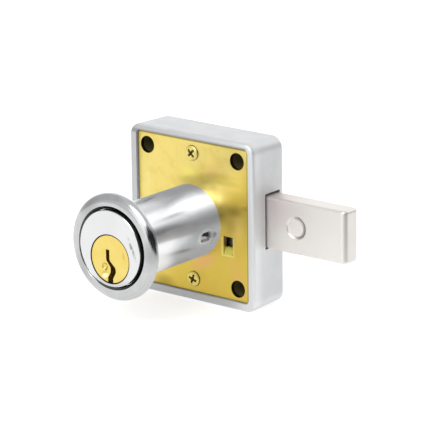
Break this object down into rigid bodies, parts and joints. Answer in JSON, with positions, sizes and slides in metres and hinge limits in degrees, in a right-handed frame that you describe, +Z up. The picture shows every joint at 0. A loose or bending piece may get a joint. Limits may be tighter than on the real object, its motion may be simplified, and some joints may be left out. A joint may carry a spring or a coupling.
{
  "type": "furniture lock",
  "caption": "Surface-mounted furniture lock: a key-turned barrel through the door works a dead bolt in a cast case behind it.",
  "frame": {"origin": "the barrel's axis on the front face of the cover plate", "axes": "+X along the bolt towards its end, +Y from the barrel's face into the case, +Z up"},
  "size_m": [0.0653, 0.0436, 0.0442],
  "materials": {
    "satin_zinc": "satin chromed zinc die casting, fine even grain",
    "yellow_steel": "yellow passivated zinc on steel sheet, slightly iridescent",
    "chrome": "bright chrome on a zinc die casting",
    "brass": "turned brass, lightly polished",
    "spring_steel": "drawn spring steel",
    "steel": "zinc plated steel",
    "satin_nickel": "satin nickel over a machined bar"
  },
  "bodies": {
    "lock_body": {"case": "satin_zinc", "cover_plate": "yellow_steel", "plate_screws": "yellow_steel", "cylinder_housing": "chrome", "chamber_cover": "chrome", "plug_retainer": "steel", "detent_spring": "spring_steel", "pin_spring_1": "spring_steel", "pin_spring_2": "spring_steel", "pin_spring_3": "spring_steel", "pin_spring_4": "spring_steel", "pin_spring_5": "spring_steel"},
    "plug_body": {"plug": "brass", "crank": "steel", "crank_pin": "steel", "crank_screw": "steel"},
    "bolt_body": {"bolt": "satin_nickel", "bolt_insert": "steel"},
    "ring_body": {"trim_ring": "chrome"},
    "key_pin_body_1": {"key_pin_1": "brass"},
    "driver_pin_body_1": {"driver_pin_1": "brass"},
    "key_pin_body_2": {"key_pin_2": "brass"},
    "driver_pin_body_2": {"driver_pin_2": "brass"},
    "key_pin_body_3": {"key_pin_3": "brass"},
    "driver_pin_body_3": {"driver_pin_3": "brass"},
    "key_pin_body_4": {"key_pin_4": "brass"},
    "driver_pin_body_4": {"driver_pin_4": "brass"},
    "key_pin_body_5": {"key_pin_5": "brass"},
    "driver_pin_body_5": {"driver_pin_5": "brass"}
  },
  "joints": [
    {"name": "plug_turn", "type": "hinge", "parent": "lock_body", "child": "plug_body", "pos_m": [0, 0, -0.0027], "axis": [0, -1, 0], "range_deg": [0, 180], "deforming": ["detent_spring"]},
    {"name": "bolt_slide", "type": "slide", "parent": "lock_body", "child": "bolt_body", "axis": [1, 0, 0], "range_m": [-0.0237, 0]},
    {"name": "trim_ring_slide", "type": "slide", "parent": "lock_body", "child": "ring_body", "axis": [0, 1, 0], "range_m": [0, 0.0285]},
    {"name": "key_pin_1_drop", "type": "slide", "parent": "plug_body", "child": "key_pin_body_1", "axis": [0, 0, -1], "range_m": [0, 0.003]},
    {"name": "driver_pin_1_lift", "type": "slide", "parent": "lock_body", "child": "driver_pin_body_1", "axis": [0, 0, 1], "range_m": [0, 0.0011], "stiffness_N_per_m": 200, "springref_m": -0.001, "deforming": ["pin_spring_1"]},
    {"name": "key_pin_2_drop", "type": "slide", "parent": "plug_body", "child": "key_pin_body_2", "axis": [0, 0, -1], "range_m": [0, 0.0018]},
    {"name": "driver_pin_2_lift", "type": "slide", "parent": "lock_body", "child": "driver_pin_body_2", "axis": [0, 0, 1], "range_m": [0, 0.0011], "stiffness_N_per_m": 200, "springref_m": -0.001, "deforming": ["pin_spring_2"]},
    {"name": "key_pin_3_drop", "type": "slide", "parent": "plug_body", "child": "key_pin_body_3", "axis": [0, 0, -1], "range_m": [0, 0.0024]},
    {"name": "driver_pin_3_lift", "type": "slide", "parent": "lock_body", "child": "driver_pin_body_3", "axis": [0, 0, 1], "range_m": [0, 0.0011], "stiffness_N_per_m": 200, "springref_m": -0.001, "deforming": ["pin_spring_3"]},
    {"name": "key_pin_4_drop", "type": "slide", "parent": "plug_body", "child": "key_pin_body_4", "axis": [0, 0, -1], "range_m": [0, 0.0012]},
    {"name": "driver_pin_4_lift", "type": "slide", "parent": "lock_body", "child": "driver_pin_body_4", "axis": [0, 0, 1], "range_m": [0, 0.0011], "stiffness_N_per_m": 200, "springref_m": -0.001, "deforming": ["pin_spring_4"]},
    {"name": "key_pin_5_drop", "type": "slide", "parent": "plug_body", "child": "key_pin_body_5", "axis": [0, 0, -1], "range_m": [0, 0.0027]},
    {"name": "driver_pin_5_lift", "type": "slide", "parent": "lock_body", "child": "driver_pin_body_5", "axis": [0, 0, 1], "range_m": [0, 0.0011], "stiffness_N_per_m": 200, "springref_m": -0.001, "deforming": ["pin_spring_5"]}
  ],
  "couplings": [
    {"joint": "plug_turn", "follows": "bolt_slide", "rad_per_m": -132.56},
    {"joint": "key_pin_2_drop", "follows": "key_pin_1_drop", "ratio": 0.6},
    {"joint": "driver_pin_2_lift", "follows": "driver_pin_1_lift", "ratio": 1},
    {"joint": "key_pin_3_drop", "follows": "key_pin_1_drop", "ratio": 0.8},
    {"joint": "driver_pin_3_lift", "follows": "driver_pin_1_lift", "ratio": 1},
    {"joint": "key_pin_4_drop", "follows": "key_pin_1_drop", "ratio": 0.4},
    {"joint": "driver_pin_4_lift", "follows": "driver_pin_1_lift", "ratio": 1},
    {"joint": "key_pin_5_drop", "follows": "key_pin_1_drop", "ratio": 0.9},
    {"joint": "driver_pin_5_lift", "follows": "driver_pin_1_lift", "ratio": 1}
  ]
}
